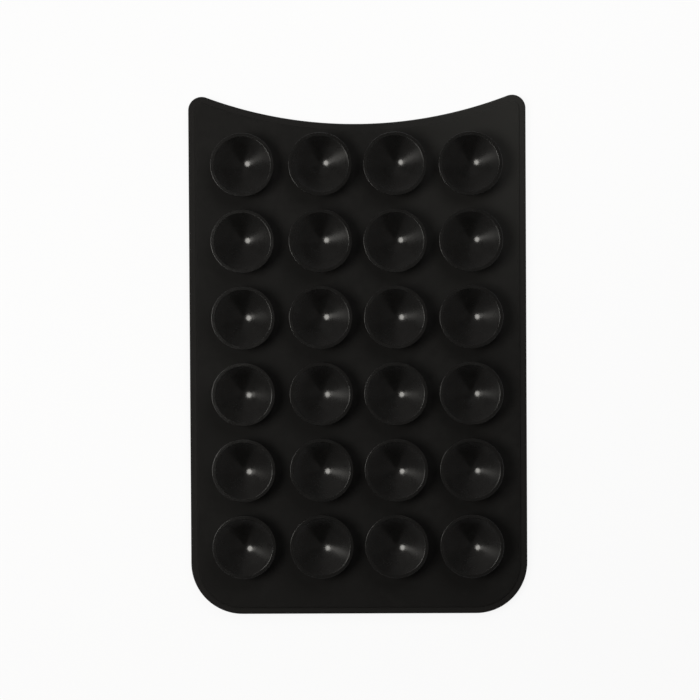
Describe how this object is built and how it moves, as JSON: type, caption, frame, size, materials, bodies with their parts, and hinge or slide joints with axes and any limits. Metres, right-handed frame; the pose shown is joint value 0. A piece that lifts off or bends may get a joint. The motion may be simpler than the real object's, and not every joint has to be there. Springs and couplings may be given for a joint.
{
  "type": "suction cup phone holder",
  "caption": "Thin silicone pad with a grid of suction cups in front, adhesive and a split release liner behind, and a concave edge that clears a phone's camera.",
  "frame": {"origin": "middle of the underside of the pad as it lies on its back", "axes": "+Z out of the suction cups, +Y to the concave short edge, +X to the right seen from the cups"},
  "size_m": [0.055, 0.0846, 0.0054],
  "materials": {
    "sheet_silicone": "matte moulded silicone",
    "cup_silicone": "satin moulded silicone, smoother in the bowl",
    "adhesive_film": "tacky translucent acrylic film",
    "liner_paper": "waxy release paper"
  },
  "bodies": {
    "pad": {"silicone_sheet": "sheet_silicone", "adhesive_pad": "adhesive_film"},
    "liner_upper": {"release_liner_upper": "liner_paper"},
    "liner_lower": {"release_liner_lower": "liner_paper"},
    "cup_r1_c1": {"suction_cup_r1_c1": "cup_silicone"},
    "cup_r1_c2": {"suction_cup_r1_c2": "cup_silicone"},
    "cup_r1_c3": {"suction_cup_r1_c3": "cup_silicone"},
    "cup_r1_c4": {"suction_cup_r1_c4": "cup_silicone"},
    "cup_r2_c1": {"suction_cup_r2_c1": "cup_silicone"},
    "cup_r2_c2": {"suction_cup_r2_c2": "cup_silicone"},
    "cup_r2_c3": {"suction_cup_r2_c3": "cup_silicone"},
    "cup_r2_c4": {"suction_cup_r2_c4": "cup_silicone"},
    "cup_r3_c1": {"suction_cup_r3_c1": "cup_silicone"},
    "cup_r3_c2": {"suction_cup_r3_c2": "cup_silicone"},
    "cup_r3_c3": {"suction_cup_r3_c3": "cup_silicone"},
    "cup_r3_c4": {"suction_cup_r3_c4": "cup_silicone"},
    "cup_r4_c1": {"suction_cup_r4_c1": "cup_silicone"},
    "cup_r4_c2": {"suction_cup_r4_c2": "cup_silicone"},
    "cup_r4_c3": {"suction_cup_r4_c3": "cup_silicone"},
    "cup_r4_c4": {"suction_cup_r4_c4": "cup_silicone"},
    "cup_r5_c1": {"suction_cup_r5_c1": "cup_silicone"},
    "cup_r5_c2": {"suction_cup_r5_c2": "cup_silicone"},
    "cup_r5_c3": {"suction_cup_r5_c3": "cup_silicone"},
    "cup_r5_c4": {"suction_cup_r5_c4": "cup_silicone"},
    "cup_r6_c1": {"suction_cup_r6_c1": "cup_silicone"},
    "cup_r6_c2": {"suction_cup_r6_c2": "cup_silicone"},
    "cup_r6_c3": {"suction_cup_r6_c3": "cup_silicone"},
    "cup_r6_c4": {"suction_cup_r6_c4": "cup_silicone"}
  },
  "joints": [
    {"name": "peel_liner_upper", "type": "hinge", "parent": "pad", "child": "liner_upper", "pos_m": [0, 0.0416, 0.0001], "axis": [1, 0, 0], "range_deg": [0, 180]},
    {"name": "peel_liner_lower", "type": "hinge", "parent": "pad", "child": "liner_lower", "pos_m": [0, -0.0416, 0.0001], "axis": [-1, 0, 0], "range_deg": [0, 180]},
    {"name": "press_cup_r1_c1", "type": "slide", "parent": "pad", "child": "cup_r1_c1", "axis": [0, 0, -1], "range_m": [0, 0.0012], "stiffness_N_per_m": 800, "deforming": ["suction_cup_r1_c1"]},
    {"name": "press_cup_r1_c2", "type": "slide", "parent": "pad", "child": "cup_r1_c2", "axis": [0, 0, -1], "range_m": [0, 0.0012], "stiffness_N_per_m": 800, "deforming": ["suction_cup_r1_c2"]},
    {"name": "press_cup_r1_c3", "type": "slide", "parent": "pad", "child": "cup_r1_c3", "axis": [0, 0, -1], "range_m": [0, 0.0012], "stiffness_N_per_m": 800, "deforming": ["suction_cup_r1_c3"]},
    {"name": "press_cup_r1_c4", "type": "slide", "parent": "pad", "child": "cup_r1_c4", "axis": [0, 0, -1], "range_m": [0, 0.0012], "stiffness_N_per_m": 800, "deforming": ["suction_cup_r1_c4"]},
    {"name": "press_cup_r2_c1", "type": "slide", "parent": "pad", "child": "cup_r2_c1", "axis": [0, 0, -1], "range_m": [0, 0.0012], "stiffness_N_per_m": 800, "deforming": ["suction_cup_r2_c1"]},
    {"name": "press_cup_r2_c2", "type": "slide", "parent": "pad", "child": "cup_r2_c2", "axis": [0, 0, -1], "range_m": [0, 0.0012], "stiffness_N_per_m": 800, "deforming": ["suction_cup_r2_c2"]},
    {"name": "press_cup_r2_c3", "type": "slide", "parent": "pad", "child": "cup_r2_c3", "axis": [0, 0, -1], "range_m": [0, 0.0012], "stiffness_N_per_m": 800, "deforming": ["suction_cup_r2_c3"]},
    {"name": "press_cup_r2_c4", "type": "slide", "parent": "pad", "child": "cup_r2_c4", "axis": [0, 0, -1], "range_m": [0, 0.0012], "stiffness_N_per_m": 800, "deforming": ["suction_cup_r2_c4"]},
    {"name": "press_cup_r3_c1", "type": "slide", "parent": "pad", "child": "cup_r3_c1", "axis": [0, 0, -1], "range_m": [0, 0.0012], "stiffness_N_per_m": 800, "deforming": ["suction_cup_r3_c1"]},
    {"name": "press_cup_r3_c2", "type": "slide", "parent": "pad", "child": "cup_r3_c2", "axis": [0, 0, -1], "range_m": [0, 0.0012], "stiffness_N_per_m": 800, "deforming": ["suction_cup_r3_c2"]},
    {"name": "press_cup_r3_c3", "type": "slide", "parent": "pad", "child": "cup_r3_c3", "axis": [0, 0, -1], "range_m": [0, 0.0012], "stiffness_N_per_m": 800, "deforming": ["suction_cup_r3_c3"]},
    {"name": "press_cup_r3_c4", "type": "slide", "parent": "pad", "child": "cup_r3_c4", "axis": [0, 0, -1], "range_m": [0, 0.0012], "stiffness_N_per_m": 800, "deforming": ["suction_cup_r3_c4"]},
    {"name": "press_cup_r4_c1", "type": "slide", "parent": "pad", "child": "cup_r4_c1", "axis": [0, 0, -1], "range_m": [0, 0.0012], "stiffness_N_per_m": 800, "deforming": ["suction_cup_r4_c1"]},
    {"name": "press_cup_r4_c2", "type": "slide", "parent": "pad", "child": "cup_r4_c2", "axis": [0, 0, -1], "range_m": [0, 0.0012], "stiffness_N_per_m": 800, "deforming": ["suction_cup_r4_c2"]},
    {"name": "press_cup_r4_c3", "type": "slide", "parent": "pad", "child": "cup_r4_c3", "axis": [0, 0, -1], "range_m": [0, 0.0012], "stiffness_N_per_m": 800, "deforming": ["suction_cup_r4_c3"]},
    {"name": "press_cup_r4_c4", "type": "slide", "parent": "pad", "child": "cup_r4_c4", "axis": [0, 0, -1], "range_m": [0, 0.0012], "stiffness_N_per_m": 800, "deforming": ["suction_cup_r4_c4"]},
    {"name": "press_cup_r5_c1", "type": "slide", "parent": "pad", "child": "cup_r5_c1", "axis": [0, 0, -1], "range_m": [0, 0.0012], "stiffness_N_per_m": 800, "deforming": ["suction_cup_r5_c1"]},
    {"name": "press_cup_r5_c2", "type": "slide", "parent": "pad", "child": "cup_r5_c2", "axis": [0, 0, -1], "range_m": [0, 0.0012], "stiffness_N_per_m": 800, "deforming": ["suction_cup_r5_c2"]},
    {"name": "press_cup_r5_c3", "type": "slide", "parent": "pad", "child": "cup_r5_c3", "axis": [0, 0, -1], "range_m": [0, 0.0012], "stiffness_N_per_m": 800, "deforming": ["suction_cup_r5_c3"]},
    {"name": "press_cup_r5_c4", "type": "slide", "parent": "pad", "child": "cup_r5_c4", "axis": [0, 0, -1], "range_m": [0, 0.0012], "stiffness_N_per_m": 800, "deforming": ["suction_cup_r5_c4"]},
    {"name": "press_cup_r6_c1", "type": "slide", "parent": "pad", "child": "cup_r6_c1", "axis": [0, 0, -1], "range_m": [0, 0.0012], "stiffness_N_per_m": 800, "deforming": ["suction_cup_r6_c1"]},
    {"name": "press_cup_r6_c2", "type": "slide", "parent": "pad", "child": "cup_r6_c2", "axis": [0, 0, -1], "range_m": [0, 0.0012], "stiffness_N_per_m": 800, "deforming": ["suction_cup_r6_c2"]},
    {"name": "press_cup_r6_c3", "type": "slide", "parent": "pad", "child": "cup_r6_c3", "axis": [0, 0, -1], "range_m": [0, 0.0012], "stiffness_N_per_m": 800, "deforming": ["suction_cup_r6_c3"]},
    {"name": "press_cup_r6_c4", "type": "slide", "parent": "pad", "child": "cup_r6_c4", "axis": [0, 0, -1], "range_m": [0, 0.0012], "stiffness_N_per_m": 800, "deforming": ["suction_cup_r6_c4"]}
  ]
}
